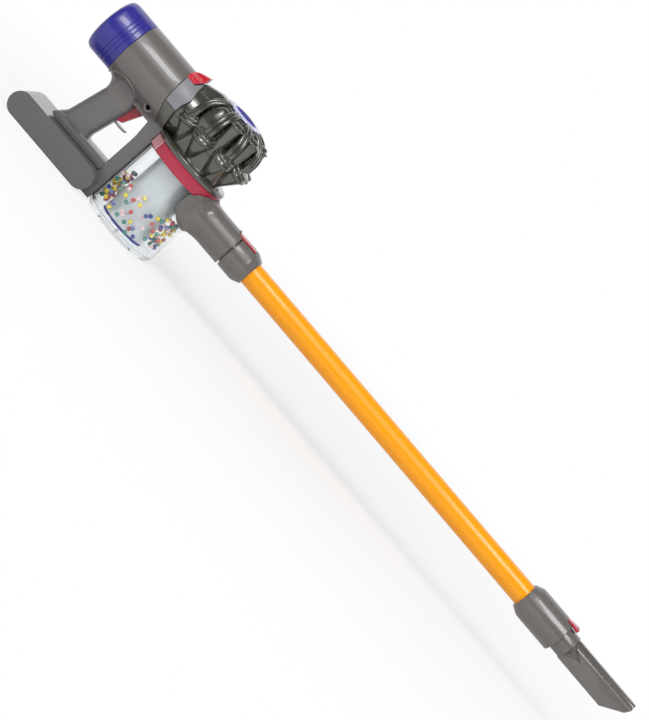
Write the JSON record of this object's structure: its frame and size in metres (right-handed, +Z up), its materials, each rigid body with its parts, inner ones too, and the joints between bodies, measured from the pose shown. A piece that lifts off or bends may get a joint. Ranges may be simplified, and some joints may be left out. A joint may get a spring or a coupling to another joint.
{
  "type": "toy cordless stick vacuum cleaner",
  "caption": "Toy stick vacuum with cyclone pack, clear bead bin, trigger grip, battery foot, orange wand and crevice tool.",
  "frame": {"origin": "on the table, midway between the battery foot's back end and the crevice tool's tip, on the middle plane", "axes": "+X along the wand from the handle to the tool, +Y to the left of a child who holds it, +Z up"},
  "size_m": [0.7275, 0.087, 0.1465],
  "materials": {
    "violet_plastic": "polished",
    "foam": "matte",
    "grey_plastic": "satin",
    "foot_plastic": "satin",
    "duct_plastic": "polished",
    "olive_plastic": "polished",
    "lilac_plastic": "satin",
    "navy_plastic": "polished",
    "crimson_plastic": "satin",
    "pink_plastic": "satin",
    "red_plastic": "polished",
    "clear_plastic": "polished",
    "silver_plastic": "satin",
    "orange_plastic": "polished",
    "yellow_plastic": "polished",
    "blue_plastic": "polished",
    "green_plastic": "polished",
    "white_plastic": "polished",
    "screw_steel": "satin",
    "black_rubber": "matte",
    "motor_can": "satin",
    "cell_wrap": "polished"
  },
  "bodies": {
    "handheld": {"filter_cap": "violet_plastic", "filter_pad": "foam", "right_housing": "grey_plastic", "left_housing": "grey_plastic", "housing_screws": "screw_steel", "motor": "motor_can", "motor_mount": "black_rubber", "duct_upper": "duct_plastic", "duct_lower": "duct_plastic", "lever_spring": "screw_steel", "cyclone_cones": "olive_plastic", "cyclone_dome": "olive_plastic", "disc_rim": "lilac_plastic", "disc_centre": "navy_plastic", "latch_ring": "crimson_plastic", "latch_grips": "pink_plastic", "clear_bin": "clear_plastic", "bin_base": "clear_plastic", "inner_cylinder": "silver_plastic", "stirrer_motor": "motor_can", "beads_red": "red_plastic", "beads_yellow": "yellow_plastic", "beads_blue": "blue_plastic", "beads_green": "green_plastic", "beads_white": "white_plastic", "neck": "grey_plastic", "trigger_pin": "screw_steel", "trigger_spring": "screw_steel", "trigger_switch": "black_rubber", "finger_rest": "grey_plastic", "foot_case_right": "foot_plastic", "foot_case_left": "foot_plastic", "foot_screws": "screw_steel", "battery_cells": "cell_wrap", "contact_plates": "screw_steel"},
    "fan": {"motor_shaft": "screw_steel", "fan_wheel": "white_plastic"},
    "stirrer": {"stirrer_shaft": "screw_steel", "stirrer_disc": "navy_plastic"},
    "trigger": {"trigger": "crimson_plastic"},
    "release_lever": {"release_lever": "red_plastic"},
    "wand": {"wand": "orange_plastic", "top_collar": "grey_plastic", "low_collar": "grey_plastic"},
    "wand_button": {"wand_button": "red_plastic"},
    "tool_button": {"tool_button": "red_plastic"},
    "tool": {"crevice_tool": "grey_plastic"},
    "battery_door": {"battery_door": "foot_plastic", "door_screw": "screw_steel", "contact_springs": "screw_steel"}
  },
  "joints": [
    {"name": "trigger_pull", "type": "hinge", "parent": "handheld", "child": "trigger", "pos_m": [-0.29575, 0, 0.0635], "axis": [0, 1, 0], "range_deg": [-10, 0], "stiffness_Nm_per_rad": 0.25, "springref_deg": 9.74, "deforming": ["trigger_spring"]},
    {"name": "lever_press", "type": "slide", "parent": "handheld", "child": "release_lever", "axis": [0, 0, -1], "range_m": [0, 0.0012], "stiffness_N_per_m": 500, "springref_m": -0.001, "deforming": ["lever_spring"]},
    {"name": "wand_button_press", "type": "slide", "parent": "wand", "child": "wand_button", "axis": [0, 0, -1], "range_m": [0, 0.001], "stiffness_N_per_m": 500, "springref_m": -0.001},
    {"name": "tool_button_press", "type": "slide", "parent": "wand", "child": "tool_button", "axis": [0, 0, -1], "range_m": [0, 0.001], "stiffness_N_per_m": 500, "springref_m": -0.001},
    {"name": "wand_pull", "type": "slide", "parent": "handheld", "child": "wand", "axis": [1, 0, 0], "range_m": [0, 0.03]},
    {"name": "tool_pull", "type": "slide", "parent": "wand", "child": "tool", "axis": [1, 0, 0], "range_m": [0, 0.024]},
    {"name": "door_slide", "type": "slide", "parent": "handheld", "child": "battery_door", "axis": [0, 1, 0], "range_m": [0, 0.03]},
    {"name": "fan_spin", "type": "hinge", "parent": "handheld", "child": "fan", "pos_m": [-0.2795, 0, 0.1105], "axis": [1, 0, 0], "continuous": true},
    {"name": "stirrer_spin", "type": "hinge", "parent": "handheld", "child": "stirrer", "pos_m": [-0.22375, 0, 0.0065], "axis": [0, 0, 1], "continuous": true}
  ]
}
